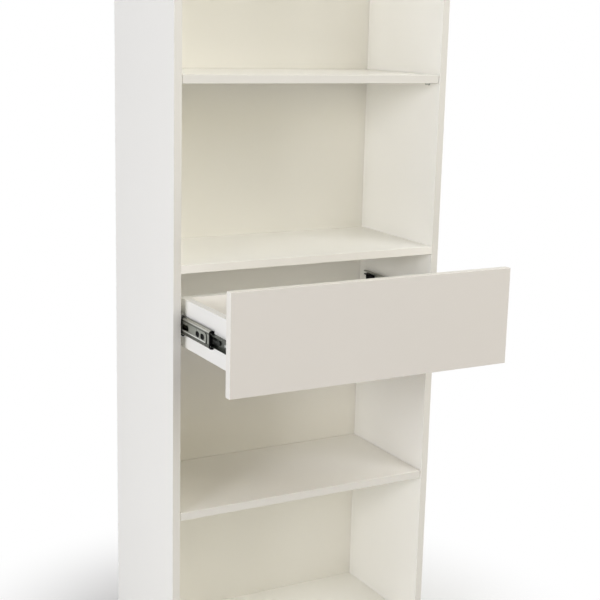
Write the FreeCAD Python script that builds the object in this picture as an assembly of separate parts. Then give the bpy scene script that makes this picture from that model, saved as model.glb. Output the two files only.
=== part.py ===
import FreeCAD, Part

import math
import os

# A tall open bookcase of faced board, with loose shelves and one drawer hung under its fixed shelf.
# The drawer runs on two telescopic ball-bearing slides, and is drawn open by OPENING_SHARE of their length.
# Millimetres. +X is to the right seen from the front, +Y to the wall, +Z up.
# The origin is on the floor, under the middle of the carcass.

# Carcass
WIDTH = 600.0
DEPTH = 298.0
BOARD = 16.0
EDGE_RADIUS = 0.6
PLINTH_HEIGHT = 64.0
PLINTH_SETBACK = 20.0
LOWER_BAY = 336.0
DRAWER_BAY = 478.0
MIDDLE_BAY = 336.0
UPPER_BAY = 336.0
TOP_BAY = 320.0

# Fits: play between a fastener and its hole, the length that cuts run past a face, and the angle in degrees
# within which an edge counts as running along an axis
FIT_PLAY = 0.05
CUT_OVERRUN = 2.0
AXIS_TOLERANCE = 1.0

# Flat facets round a small turned piece, fewer on those in rows or shut in between boards
ROUND_SIDES = 8
ROW_SIDES = 6

# Back panels, in grooves
BACK_THICKNESS = 3.0
BACK_INSET = 16.0
GROOVE_DEPTH = 8.0
GROOVE_PLAY = 0.2
BACK_JOINT_GAP = 0.4

# Loose shelves and the pins under them
SHELF_THICKNESS = 16.0
SHELF_END_PLAY = 1.5
SHELF_FRONT_SETBACK = 2.0
SHELF_BACK_PLAY = 1.0
PIN_DIAMETER = 5.0
PIN_DEPTH = 9.0
PIN_REACH = 9.0
PIN_COLLAR_DIAMETER = 8.0
PIN_COLLAR_SHARE = 0.6
PIN_SETBACK = 37.0

# Dowels that hold a board square against another
DOWEL_SETBACK = 50.0
DOWEL_DIAMETER = 8.0
DOWEL_IN_FACE = 10.0
DOWEL_IN_END = 20.0
DOWEL_EDGE = 20.0

# Floor glides, nailed under the side panels
GLIDE_HEIGHT = 4.0
GLIDE_DIAMETER = 14.0
GLIDE_CHAMFER = 1.2
GLIDE_SETBACK = 32.0
GLIDE_NAIL_DIAMETER = 2.4
GLIDE_NAIL_LENGTH = 14.0

# Wall brackets on the top panel
BRACKET_SPACING = 440.0
BRACKET_WIDTH = 30.0
BRACKET_LEG = 30.0
BRACKET_STEEL = 2.0
BRACKET_CORNER_RADIUS = 5.0
BRACKET_HOLE_DIAMETER = 6.0
BRACKET_HOLE_HEIGHT = 18.0
BRACKET_FOOT_HOLE_SETBACK = 18.0

# Drawer box and its overlay front
OPENING_SHARE = 0.92
DRAWER_GAP = 2.0
FRONT_THICKNESS = 16.0
FRONT_HEIGHT = 189.6
FRONT_REVEAL = 0.8
FRONT_TOP_DROP = 2.2
FRONT_EDGE_RADIUS = 0.6
BOX_BOARD = 16.0
BOX_REAR_ROOM = 16.0
BOX_HEIGHT = 94.0
BOX_TOP_GAP = 52.0
BOX_BOTTOM_THICKNESS = 3.0
BOX_BOTTOM_LIFT = 10.0
BOX_GROOVE_DEPTH = 6.0
BUMPER_DIAMETER = 8.0
BUMPER_SHARE = 0.8
BUMPER_EDGE = 16.0

# Telescopic slides: rolled steel rails with two rows of balls between each pair
SLIDE_REAR_ROOM = 31.0
SLIDE_HEIGHT = 45.0
SLIDE_THICKNESS = 13.0
SLIDE_STEEL = 1.2
SLIDE_SETBACK = 3.0
SLIDE_DROP = 1.5
BALL_DIAMETER = 4.0
RACE_PLAY = 0.3
MIDDLE_WEB_GAP = 1.6
MIDDLE_RAIL_LEAD = 0.4
DRAWER_RAIL_SETBACK = 5.0
DRAWER_RAIL_REAR_SETBACK = 2.0
DRAWER_RAIL_BEND = 1.2
CABINET_LIP_ANGLE = 20.0
MIDDLE_LIP_ANGLE = 30.0
DRAWER_LIP_ANGLE = 30.0
MIDDLE_TRAVEL_SHARE = 0.54

# Windows and slots in the rails
WINDOW_HEIGHT = 11.0
WINDOW_SPAN_SHARES = ((0.1, 0.18), (0.205, 0.28), (0.43, 0.59), (0.67, 0.83))
STOP_SLOT_RADIUS = 15.0
STOP_SLOT_WIDTH = 4.5
STOP_SLOT_ANGLE = 48.0
STOP_SLOT_FRONT = 10.0
RAIL_NOTCH_LENGTH = 7.0
RAIL_NOTCH_HEIGHT = 7.0

# Ball cages
CAGE_LENGTH_SHARE = 0.304
CAGE_THICKNESS = 0.8
CAGE_SPINE = 1.0
CAGE_MOUTH_SHARE = 0.4
CAGE_BALL_PLAY = 0.1
CAGE_WEB_PLAY = 0.4
CAGE_BEND_RUN = 1.1
CAGE_BEND_RISE = 1.2
OUTER_CAGE_PLACE_SHARE = 0.273
INNER_CAGE_PLACE_SHARE = 0.34
BALLS_IN_ROW = 4
BALL_RING_LATITUDES = (-60, -20, 20, 60)

# Moulded stops on the slides
CATCH_LENGTH = 34.0
CATCH_BASE = 1.6
CATCH_REACH = 8.0
CATCH_ARM = 2.2
CATCH_PLAY = 0.6
END_CAP_LENGTH = 3.2
END_CAP_LIP_ANGLE = 30.0
END_CAP_SKIRT = 0.4
END_CAP_PLAY = 0.8
END_CAP_TONGUE_SHARE = 0.3
END_CAP_TONGUE_HEIGHT = 17.0
END_CAP_TONGUE_THICKNESS = 1.0
END_CAP_ROUNDING_SHARE = 0.25

# Release levers on the drawer rails
LEVER_LENGTH = 46.0
LEVER_HEIGHT = 5.0
LEVER_THICKNESS = 2.0
LEVER_FLOAT = 0.4
LEVER_HANDLE_DIAMETER = 9.0
LEVER_BOSS_DIAMETER = 9.0
LEVER_HOOK_HEIGHT = 8.0
LEVER_HOOK_LENGTH = 4.0
LEVER_PIVOT_SETBACK = 100.0
LEVER_PIVOT_SHARE = 0.6
RIVET_DIAMETER = 4.0
RIVET_HEAD_DIAMETER = 6.6
RIVET_HEAD_HEIGHT = 0.6
RIVET_PLAY = 0.3

# Screw holes in the rails
RAIL_HOLE_DIAMETER = 4.4
RAIL_HOLE_LENGTH_SHARES = (0.14, 0.78)


# Places that follow from the sizes above
front_y = -DEPTH / 2
rear_y = DEPTH / 2
inner_x = WIDTH / 2 - BOARD
back_face_y = rear_y - BACK_INSET - BACK_THICKNESS
bottom_low = GLIDE_HEIGHT + PLINTH_HEIGHT
lower_shelf_low = bottom_low + BOARD + LOWER_BAY
fixed_low = lower_shelf_low + SHELF_THICKNESS + DRAWER_BAY
middle_shelf_low = fixed_low + BOARD + MIDDLE_BAY
upper_shelf_low = middle_shelf_low + SHELF_THICKNESS + UPPER_BAY
top_low = upper_shelf_low + SHELF_THICKNESS + TOP_BAY
top_high = top_low + BOARD
back_joint_z = fixed_low + BOARD / 2
dowel_rows = (front_y + DOWEL_SETBACK, back_face_y - DOWEL_SETBACK)
pin_rows = (front_y + PIN_SETBACK, back_face_y - PIN_SETBACK)

front_rear_y = front_y - DRAWER_GAP
front_top = fixed_low + BOARD - FRONT_TOP_DROP
front_low = front_top - FRONT_HEIGHT
box_half = inner_x - SLIDE_THICKNESS
box_depth = back_face_y - BOX_REAR_ROOM - front_rear_y
box_top = fixed_low - BOX_TOP_GAP
box_low = box_top - BOX_HEIGHT
box_bottom_low = box_low + BOX_BOTTOM_LIFT
slide_z = box_low + BOX_HEIGHT / 2 - SLIDE_DROP

race_radius = BALL_DIAMETER / 2 + RACE_PLAY
race_middle = race_radius + SLIDE_STEEL / 2
ball_u = SLIDE_STEEL + MIDDLE_WEB_GAP + SLIDE_STEEL + race_radius
outer_ball_v = SLIDE_HEIGHT / 2 - SLIDE_STEEL - race_radius
inner_ball_v = outer_ball_v - 2 * race_middle
shoulder_radius = ball_u - SLIDE_STEEL / 2
shoulder_v = outer_ball_v + race_middle - shoulder_radius
drawer_web_u = SLIDE_THICKNESS - SLIDE_STEEL
flange_turn = math.radians(DRAWER_LIP_ANGLE)
flange_u = ball_u + 2 * race_middle * math.sin(flange_turn)
flange_v = inner_ball_v - 2 * race_middle * math.cos(flange_turn) + race_middle
drawer_rail_half = flange_v + SLIDE_STEEL / 2
lever_u = (drawer_web_u - LEVER_FLOAT - LEVER_THICKNESS, drawer_web_u - LEVER_FLOAT)

cabinet_rail_y = front_y + SLIDE_SETBACK
slide_length = back_face_y - SLIDE_REAR_ROOM - cabinet_rail_y
opening_at_rest = slide_length * OPENING_SHARE
cage_length = slide_length * CAGE_LENGTH_SHARE
middle_rail_y = cabinet_rail_y - MIDDLE_RAIL_LEAD
middle_rail_length = slide_length + MIDDLE_RAIL_LEAD - CATCH_LENGTH - CATCH_PLAY
drawer_rail_y = front_rear_y + DRAWER_RAIL_SETBACK
drawer_rail_length = slide_length - DRAWER_RAIL_REAR_SETBACK
outer_cage_travel_share = MIDDLE_TRAVEL_SHARE / 2
inner_cage_travel_share = (MIDDLE_TRAVEL_SHARE + 1) / 2

ALONG_X = FreeCAD.Vector(1, 0, 0)
ALONG_Y = FreeCAD.Vector(0, 1, 0)
ALONG_Z = FreeCAD.Vector(0, 0, 1)
CENTRE = FreeCAD.Vector(0, 0, 0)


def point(x, y, z):
    return FreeCAD.Vector(x, y, z)


def block(x, y, z):
    """A box from its low and high places along each axis."""
    return Part.makeBox(x[1] - x[0], y[1] - y[0], z[1] - z[0], point(x[0], y[0], z[0]))


def rod(diameter, start, end):
    """A round bar from one point to another."""
    along = end - start
    return Part.makeCylinder(diameter / 2, along.Length, start, along)


def flat(corners):
    return Part.Face(Part.makePolygon(corners + corners[:1]))


def turned(start, along, profile, sides):
    """A turned piece in flat facets: its profile lists distances along the axis and diameters there."""
    turn = FreeCAD.Rotation(ALONG_Z, along)
    angles = [2 * math.pi * (count + 0.5) / sides for count in range(sides)]
    rings = []
    for distance, diameter in profile:
        corner = diameter / 2 / math.cos(math.pi / sides)
        ring = [point(corner * math.cos(angle), corner * math.sin(angle), distance) for angle in angles]
        rings.append([start + turn.multVec(place) for place in ring])
    faces = [flat(rings[0]), flat(rings[-1])]
    for low, high in zip(rings, rings[1:]):
        for this in range(sides):
            after = (this + 1) % sides
            faces.append(flat([low[this], low[after], high[after], high[this]]))
    shell = Part.makeShell(faces)
    shell.sewShape()
    solid = Part.makeSolid(shell)
    return solid if solid.Volume > 0 else solid.reversed()


def bar(diameter, start, end, sides):
    """A straight turned piece from one point to another."""
    return turned(start, end - start, [(0, diameter), ((end - start).Length, diameter)], sides)


def widened(profile):
    """The profile of the hole that a turned piece fits."""
    return [(distance, diameter + 2 * FIT_PLAY) for distance, diameter in profile]


def moved(shape, x, y, z):
    return shape.translated(point(x, y, z))


def mirrored(shape):
    """The same piece on the other side of the bookcase."""
    return shape.mirror(CENTRE, ALONG_X)


def both_sides(shapes):
    return shapes + [mirrored(shape) for shape in shapes]


def fused(shapes):
    return shapes[0].fuse(shapes[1:]).removeSplitter()


def eased(shape, radius, wanted):
    """Round the edges whose middle and direction the test asks for."""
    edges = [edge for edge in shape.Edges if wanted(edge.CenterOfMass, edge)]
    return shape.makeFillet(radius, edges)


def runs_along(edge, axis):
    return abs(edge.tangentAt(edge.FirstParameter).dot(axis)) > math.cos(math.radians(AXIS_TOLERANCE))


def near(value, place):
    return abs(value - place) < FIT_PLAY


def at_rest(shape, travel_share):
    """A piece of the drawer's run, drawn out by its share of the opening."""
    return moved(shape, 0, -opening_at_rest * travel_share, 0)


def save(name, shapes):
    solids = [solid for shape in shapes for solid in shape.Solids]
    whole = solids[0] if len(solids) == 1 else Part.makeCompound(solids)
    whole.exportStep(os.path.join("parts", name + ".step"))


# Small turned pieces

def dowel_through(joint, along):
    """A dowel across a joint between a board's face and another's end, and its hole."""
    start = joint - along * DOWEL_IN_FACE
    profile = [(0, DOWEL_DIAMETER), (DOWEL_IN_FACE + DOWEL_IN_END, DOWEL_DIAMETER)]
    dowel = turned(start, along, profile, ROW_SIDES)
    return dowel, turned(start, along, widened(profile), ROW_SIDES)


def shelf_pin(shelf_low, y):
    """A pin in the left side panel, with a collar in the play beside the shelf, and its hole."""
    start = point(-inner_x - PIN_DEPTH, y, shelf_low - PIN_DIAMETER / 2)
    collar_end = PIN_DEPTH + SHELF_END_PLAY * PIN_COLLAR_SHARE
    shank = [(0, PIN_DIAMETER), (PIN_DEPTH, PIN_DIAMETER)]
    collar = [(PIN_DEPTH, PIN_COLLAR_DIAMETER), (collar_end, PIN_COLLAR_DIAMETER)]
    peg = [(collar_end, PIN_DIAMETER), (PIN_DEPTH + PIN_REACH, PIN_DIAMETER)]
    pin = turned(start, ALONG_X, shank + collar + peg, ROW_SIDES)
    return pin, turned(start, ALONG_X, widened(shank), ROW_SIDES)


def floor_glide(y):
    """A nail-on glide under the left side panel, and the nail's hole."""
    x = -WIDTH / 2 + BOARD / 2
    foot = [(0, GLIDE_DIAMETER - 2 * GLIDE_CHAMFER), (GLIDE_CHAMFER, GLIDE_DIAMETER),
            (GLIDE_HEIGHT, GLIDE_DIAMETER)]
    nail = [(GLIDE_HEIGHT, GLIDE_NAIL_DIAMETER), (GLIDE_HEIGHT + GLIDE_NAIL_LENGTH, GLIDE_NAIL_DIAMETER)]
    glide = turned(point(x, y, 0), ALONG_Z, foot + nail, ROUND_SIDES)
    return glide, turned(point(x, y, 0), ALONG_Z, widened(nail), ROUND_SIDES)


# Carcass boards

def side_panel(holes):
    """The left side panel: eased front edges, the back panels' groove and all its holes."""
    panel = block((-WIDTH / 2, -inner_x), (front_y, rear_y), (GLIDE_HEIGHT, top_high))
    panel = eased(panel, EDGE_RADIUS,
                  lambda middle, edge: near(middle.y, front_y) and runs_along(edge, ALONG_Z))
    groove = block((-inner_x - GROOVE_DEPTH, -inner_x + CUT_OVERRUN),
                   (back_face_y - GROOVE_PLAY, back_face_y + BACK_THICKNESS + GROOVE_PLAY),
                   (GLIDE_HEIGHT - CUT_OVERRUN, top_high + CUT_OVERRUN))
    return panel.cut([groove] + holes)


def fixed_panel(low, end_y, holes):
    """A board between the side panels, with eased front edges."""
    panel = block((-inner_x, inner_x), (front_y, end_y), (low, low + BOARD))
    panel = eased(panel, EDGE_RADIUS,
                  lambda middle, edge: near(middle.y, front_y) and runs_along(edge, ALONG_X))
    return panel.cut(holes)


def panel_groove(low):
    """The back panels' groove in a top or bottom panel, upwards from its low place."""
    return block((-inner_x - CUT_OVERRUN, inner_x + CUT_OVERRUN),
                 (back_face_y - GROOVE_PLAY, back_face_y + BACK_THICKNESS + GROOVE_PLAY),
                 (low, low + GROOVE_DEPTH + CUT_OVERRUN))


def loose_shelf(low):
    end = inner_x - SHELF_END_PLAY
    shelf_front = front_y + SHELF_FRONT_SETBACK
    shelf = block((-end, end), (shelf_front, back_face_y - SHELF_BACK_PLAY), (low, low + SHELF_THICKNESS))
    return eased(shelf, EDGE_RADIUS,
                 lambda middle, edge: near(middle.y, shelf_front) and runs_along(edge, ALONG_X))


def back_panel(low, high):
    edge_x = inner_x + GROOVE_DEPTH - GROOVE_PLAY
    return block((-edge_x, edge_x), (back_face_y, back_face_y + BACK_THICKNESS), (low, high))


def wall_bracket():
    """An angle bracket for the wall, on the left of the top panel."""
    x = (-BRACKET_SPACING / 2 - BRACKET_WIDTH / 2, -BRACKET_SPACING / 2 + BRACKET_WIDTH / 2)
    foot = block(x, (rear_y - BRACKET_LEG, rear_y), (top_high, top_high + BRACKET_STEEL))
    foot = eased(foot, BRACKET_CORNER_RADIUS,
                 lambda middle, edge: near(middle.y, rear_y - BRACKET_LEG) and runs_along(edge, ALONG_Z))
    back = block(x, (rear_y - BRACKET_STEEL, rear_y), (top_high, top_high + BRACKET_LEG))
    back = eased(back, BRACKET_CORNER_RADIUS,
                 lambda middle, edge: near(middle.z, top_high + BRACKET_LEG) and runs_along(edge, ALONG_Y))
    angle = fused([foot, back])
    angle = eased(angle, BRACKET_STEEL,
                  lambda middle, edge: near(middle.y, rear_y - BRACKET_STEEL)
                  and near(middle.z, top_high + BRACKET_STEEL) and runs_along(edge, ALONG_X))

    hole_y = rear_y - BRACKET_FOOT_HOLE_SETBACK
    foot_hole = rod(BRACKET_HOLE_DIAMETER, point(-BRACKET_SPACING / 2, hole_y, top_high - CUT_OVERRUN),
                    point(-BRACKET_SPACING / 2, hole_y, top_high + BRACKET_STEEL + CUT_OVERRUN))
    hole_z = top_high + BRACKET_HOLE_HEIGHT
    wall_hole = rod(BRACKET_HOLE_DIAMETER, point(-BRACKET_SPACING / 2, rear_y + CUT_OVERRUN, hole_z),
                    point(-BRACKET_SPACING / 2, rear_y - BRACKET_STEEL - CUT_OVERRUN, hole_z))
    return angle.cut([foot_hole, wall_hole])


# Rolled rails of the left slide
# A rail is drawn in its own section, with u from the side panel to the drawer and v up from its middle.

def straight(start, end):
    return ("straight", start, end)


def bend(centre, radius, start, end):
    """An arc about a centre, from one angle to another in degrees."""
    return ("bend", centre, radius, start, end)


def around(centre, radius, angle):
    turn = math.radians(angle)
    return (centre[0] + radius * math.cos(turn), centre[1] + radius * math.sin(turn))


def offset_piece(piece, offset):
    """A straight or a bend, shifted to its own left."""
    if piece[0] == "straight":
        run = (piece[2][0] - piece[1][0], piece[2][1] - piece[1][1])
        length = math.hypot(run[0], run[1])
        shift = (-run[1] / length * offset, run[0] / length * offset)
        ends = [(place[0] + shift[0], place[1] + shift[1]) for place in piece[1:]]
        return straight(ends[0], ends[1])
    leftward = 1 if piece[4] > piece[3] else -1
    return bend(piece[1], piece[2] - leftward * offset, piece[3], piece[4])


def in_section(place):
    return point(place[0], 0, place[1])


def piece_points(piece):
    if piece[0] == "straight":
        return [in_section(piece[1]), in_section(piece[2])]
    halfway = (piece[3] + piece[4]) / 2
    return [in_section(around(piece[1], piece[2], angle)) for angle in (piece[3], halfway, piece[4])]


def piece_edge(points):
    if len(points) == 2:
        return Part.makeLine(points[0], points[1])
    return Part.Arc(points[0], points[1], points[2]).toShape()


def rolled_rail(upper_half, length, skirt=0):
    """A strip that follows a path in section, with its lower half the mirror of its upper.

    It is as thick as the rails' steel, and a skirt makes it thicker on its outer side.
    """
    left = [piece_points(offset_piece(piece, SLIDE_STEEL / 2 + skirt)) for piece in upper_half]
    right = [piece_points(offset_piece(piece, -SLIDE_STEEL / 2)) for piece in upper_half]
    back = [list(reversed(points)) for points in reversed(right)]
    outline = left + [[left[-1][-1], back[0][0]]] + back + [[back[-1][-1], left[0][0]]]
    face = Part.Face(Part.Wire([piece_edge(points) for points in outline]))
    upper = face.extrude(ALONG_Y * length)
    return fused([upper, upper.mirror(CENTRE, ALONG_Z)])


def cabinet_path():
    web_u = SLIDE_STEEL / 2
    return [straight((web_u, 0), (web_u, shoulder_v)),
            bend((ball_u, shoulder_v), shoulder_radius, 180, 90),
            bend((ball_u, outer_ball_v), race_middle, 90, CABINET_LIP_ANGLE)]


def middle_path(lip_angle):
    web_u = ball_u - race_middle
    return [straight((web_u, 0), (web_u, inner_ball_v)),
            bend((ball_u, inner_ball_v), race_middle, 180, 90),
            bend((ball_u, outer_ball_v), race_middle, 270, 360 - lip_angle)]


def drawer_path():
    web_u = drawer_web_u + SLIDE_STEEL / 2
    corner = (web_u - DRAWER_RAIL_BEND, flange_v - DRAWER_RAIL_BEND)
    return [straight((web_u, 0), (web_u, corner[1])),
            bend(corner, DRAWER_RAIL_BEND, 0, 90),
            straight((corner[0], flange_v), (flange_u, flange_v)),
            bend((flange_u, flange_v - race_middle), race_middle, 90, 90 + DRAWER_LIP_ANGLE),
            bend((ball_u, inner_ball_v), race_middle, 270 + DRAWER_LIP_ANGLE, 270 - DRAWER_LIP_ANGLE)]


def window(length, height, start_y):
    """A long hole with round ends, right through a web."""
    through = (-CUT_OVERRUN, SLIDE_THICKNESS + CUT_OVERRUN)
    middle = block(through, (start_y + height / 2, start_y + length - height / 2), (-height / 2, height / 2))
    ends = []
    for y in (start_y + height / 2, start_y + length - height / 2):
        ends.append(rod(height, point(through[0], y, 0), point(through[1], y, 0)))
    return fused([middle] + ends)


def stop_slot():
    """A curved slot through the middle rail's web, where the moulded stop shows."""
    through = (-CUT_OVERRUN, SLIDE_THICKNESS)
    centre_y = STOP_SLOT_FRONT + STOP_SLOT_RADIUS
    ring = rod(2 * STOP_SLOT_RADIUS + STOP_SLOT_WIDTH, point(through[0], centre_y, 0),
               point(through[1], centre_y, 0))
    hole = rod(2 * STOP_SLOT_RADIUS - STOP_SLOT_WIDTH, point(through[0], centre_y, 0),
               point(through[1], centre_y, 0))
    reach = STOP_SLOT_RADIUS * math.sin(math.radians(STOP_SLOT_ANGLE))
    keep = block(through, (STOP_SLOT_FRONT - STOP_SLOT_WIDTH, centre_y), (-reach, reach))
    return ring.cut(hole).common(keep)


def rail_holes(length, web_u):
    """The screw holes along a rail's web."""
    holes = []
    for share in RAIL_HOLE_LENGTH_SHARES:
        y = length * share
        holes.append(rod(RAIL_HOLE_DIAMETER, point(web_u - CUT_OVERRUN, y, 0),
                         point(web_u + SLIDE_STEEL + CUT_OVERRUN, y, 0)))
    return holes


def cabinet_rail():
    return rolled_rail(cabinet_path(), slide_length).cut(rail_holes(slide_length, 0))


def middle_rail():
    rail = rolled_rail(middle_path(MIDDLE_LIP_ANGLE), middle_rail_length)
    cuts = [window((end - start) * middle_rail_length, WINDOW_HEIGHT, start * middle_rail_length)
            for start, end in WINDOW_SPAN_SHARES]
    return rail.cut(cuts + [stop_slot()])


def middle_end_cap():
    """The moulded stop on the middle rail: a ring, a nose and feet on its front end, and a tongue."""
    ring = rolled_rail(middle_path(END_CAP_LIP_ANGLE), END_CAP_LENGTH, END_CAP_SKIRT)
    ring = moved(ring, 0, -END_CAP_LENGTH, 0)
    web_face = ball_u - race_radius
    tongue_end = middle_rail_length * END_CAP_TONGUE_SHARE
    tongue_z = (-END_CAP_TONGUE_HEIGHT / 2, END_CAP_TONGUE_HEIGHT / 2)
    nose_end = lever_u[0] - RIVET_PLAY - RIVET_HEAD_HEIGHT - END_CAP_PLAY
    nose = block((web_face, nose_end), (-END_CAP_LENGTH, 0), tongue_z)
    tongue = block((web_face, web_face + END_CAP_TONGUE_THICKNESS), (-END_CAP_LENGTH, tongue_end), tongue_z)
    tongue = eased(tongue, END_CAP_TONGUE_HEIGHT * END_CAP_ROUNDING_SHARE,
                   lambda middle, edge: near(middle.y, tongue_end) and runs_along(edge, ALONG_X))
    foot = block((web_face, drawer_web_u - END_CAP_PLAY), (-END_CAP_LENGTH, 0),
                 (drawer_rail_half + END_CAP_PLAY, outer_ball_v - race_radius))
    return fused([ring, nose, tongue, foot, foot.mirror(CENTRE, ALONG_Z)])


def drawer_rail():
    """The rail on the drawer, with a notch at its front end."""
    notch = block((drawer_web_u - CUT_OVERRUN, SLIDE_THICKNESS + CUT_OVERRUN),
                  (-CUT_OVERRUN, RAIL_NOTCH_LENGTH), (-RAIL_NOTCH_HEIGHT / 2, RAIL_NOTCH_HEIGHT / 2))
    rail = rolled_rail(drawer_path(), drawer_rail_length)
    return rail.cut([notch] + rail_holes(drawer_rail_length, drawer_web_u))


def rear_catch():
    """The moulded catch at the back of the cabinet rail, with an arm above and below the drawer rail."""
    y = (slide_length - CATCH_LENGTH, slide_length)
    arm_low = drawer_rail_half + CATCH_PLAY
    arm_top = arm_low + CATCH_ARM
    base = block((SLIDE_STEEL, SLIDE_STEEL + CATCH_BASE), y, (-arm_top, arm_top))
    arm = block((SLIDE_STEEL, CATCH_REACH), y, (arm_low, arm_top))
    arm = eased(arm, CATCH_ARM / 2,
                lambda middle, edge: near(middle.y, y[0]) and near(middle.z, arm_low)
                and runs_along(edge, ALONG_X))
    return fused([base, arm, arm.mirror(CENTRE, ALONG_Z)])


def ball(place):
    """A ball in flat facets, with its corners on the true sphere."""
    profile = []
    for latitude in BALL_RING_LATITUDES:
        turn = math.radians(latitude)
        across = BALL_DIAMETER * math.cos(turn) * math.cos(math.pi / ROW_SIDES)
        profile.append((BALL_DIAMETER / 2 * math.sin(turn), across))
    return turned(place, ALONG_Z, profile, ROW_SIDES)


def cage_row(ball_v, spine_side):
    """A comb strip that keeps one row of balls, open on the side away from its spine, and the balls."""
    pocket = BALL_DIAMETER + 2 * CAGE_BALL_PLAY
    ends = (ball_u + spine_side * (pocket / 2 + CAGE_SPINE),
            ball_u - spine_side * BALL_DIAMETER / 2 * CAGE_MOUTH_SHARE)
    strip_z = (ball_v - CAGE_THICKNESS / 2, ball_v + CAGE_THICKNESS / 2)
    strip = block((min(ends), max(ends)), (0, cage_length), strip_z)
    pitch = cage_length / BALLS_IN_ROW
    places = [point(ball_u, pitch / 2 + pitch * count, ball_v) for count in range(BALLS_IN_ROW)]
    pockets = [bar(pocket, place - ALONG_Z * CAGE_THICKNESS, place + ALONG_Z * CAGE_THICKNESS, ROUND_SIDES)
               for place in places]
    return strip.cut(pockets), [ball(place) for place in places]


def ball_cage(ball_v, spine_side):
    """The strips and balls above and below one pair of races."""
    strip, balls = cage_row(ball_v, spine_side)
    under = [one.mirror(CENTRE, ALONG_Z) for one in balls]
    return [strip, strip.mirror(CENTRE, ALONG_Z)], balls + under


def cage_web(strips):
    """Join two strips by a bent web that runs between the cabinet rail's web and the middle rail's."""
    outer_u = SLIDE_STEEL + CAGE_WEB_PLAY
    inner_u = SLIDE_STEEL + MIDDLE_WEB_GAP - CAGE_WEB_PLAY
    joint_u = ball_u - BALL_DIAMETER / 2 - CAGE_BALL_PLAY - CAGE_SPINE / 2
    strip_low = outer_ball_v - CAGE_THICKNESS / 2
    strip_high = outer_ball_v + CAGE_THICKNESS / 2
    bend_v = shoulder_v + CAGE_BEND_RISE
    corners = [(outer_u, 0), (outer_u, bend_v), (outer_u + CAGE_BEND_RUN, strip_high), (joint_u, strip_high),
               (joint_u, strip_low), (inner_u + CAGE_BEND_RUN / 2, strip_low),
               (inner_u, bend_v - CAGE_BEND_RISE / 2), (inner_u, 0)]
    outline = Part.makePolygon([in_section(corner) for corner in corners + corners[:1]])
    upper = Part.Face(outline).extrude(ALONG_Y * cage_length)
    return fused([upper, upper.mirror(CENTRE, ALONG_Z)] + strips)


def release_lever():
    """The lever that frees the drawer, flat in the drawer rail, about the rivet that it turns on."""
    handle_y = -LEVER_LENGTH * LEVER_PIVOT_SHARE + LEVER_HANDLE_DIAMETER / 2
    hook_y = LEVER_LENGTH * (1 - LEVER_PIVOT_SHARE)
    low = -LEVER_HEIGHT / 2
    arm = block(lever_u, (handle_y, hook_y), (low, LEVER_HEIGHT / 2))
    handle = bar(LEVER_HANDLE_DIAMETER, point(lever_u[0], handle_y, 0), point(lever_u[1], handle_y, 0),
                 ROUND_SIDES)
    boss = bar(LEVER_BOSS_DIAMETER, point(lever_u[0], 0, 0), point(lever_u[1], 0, 0), ROUND_SIDES)
    hook = block(lever_u, (hook_y - LEVER_HOOK_LENGTH, hook_y), (low, low + LEVER_HOOK_HEIGHT))
    hole = bar(RIVET_DIAMETER + 2 * RIVET_PLAY, point(lever_u[0] - CUT_OVERRUN, 0, 0),
               point(lever_u[1] + CUT_OVERRUN, 0, 0), ROUND_SIDES)
    return fused([arm, handle, boss, hook]).cut(hole)


def lever_rivet():
    """The rivet on the drawer rail's web, with its head just clear of the lever."""
    head_end = lever_u[0] - RIVET_PLAY
    head = [(0, RIVET_HEAD_DIAMETER), (RIVET_HEAD_HEIGHT, RIVET_HEAD_DIAMETER)]
    shank_end = RIVET_HEAD_HEIGHT + drawer_web_u - head_end
    shank = [(RIVET_HEAD_HEIGHT, RIVET_DIAMETER), (shank_end, RIVET_DIAMETER)]
    return turned(point(head_end - RIVET_HEAD_HEIGHT, 0, 0), ALONG_X, head + shank, ROUND_SIDES)


# Drawer box

def box_groove(x, y):
    """The bottom's groove, along one board of the box."""
    return block(x, y, (box_bottom_low - GROOVE_PLAY, box_bottom_low + BOX_BOTTOM_THICKNESS + GROOVE_PLAY))


def drawer_front(holes):
    x = WIDTH / 2 - FRONT_REVEAL
    face_y = front_rear_y - FRONT_THICKNESS
    front = block((-x, x), (face_y, front_rear_y), (front_low, front_top))
    front = eased(front, FRONT_EDGE_RADIUS, lambda middle, edge: near(middle.y, face_y))
    inside = box_half - BOX_BOARD
    groove = box_groove((-inside - BOX_GROOVE_DEPTH, inside + BOX_GROOVE_DEPTH),
                        (front_rear_y - BOX_GROOVE_DEPTH, front_rear_y + CUT_OVERRUN))
    return front.cut([groove] + holes)


def drawer_side(holes):
    """The left side of the box, from the front to behind the drawer's back."""
    end_y = front_rear_y + box_depth
    inside = -box_half + BOX_BOARD
    side = block((-box_half, inside), (front_rear_y, end_y), (box_low, box_top))
    side = eased(side, EDGE_RADIUS,
                 lambda middle, edge: near(middle.z, box_top) and runs_along(edge, ALONG_Y))
    groove = box_groove((inside - BOX_GROOVE_DEPTH, inside + CUT_OVERRUN),
                        (front_rear_y - CUT_OVERRUN, end_y + CUT_OVERRUN))
    return side.cut([groove] + holes)


def drawer_back(holes):
    end_y = front_rear_y + box_depth
    inside = box_half - BOX_BOARD
    back = block((-inside, inside), (end_y - BOX_BOARD, end_y),
                 (box_bottom_low + BOX_BOTTOM_THICKNESS, box_top))
    return back.cut(holes)


def drawer_bottom():
    edge_x = box_half - BOX_BOARD + BOX_GROOVE_DEPTH - GROOVE_PLAY
    return block((-edge_x, edge_x), (front_rear_y - BOX_GROOVE_DEPTH + GROOVE_PLAY, front_rear_y + box_depth),
                 (box_bottom_low, box_bottom_low + BOX_BOTTOM_THICKNESS))


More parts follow.
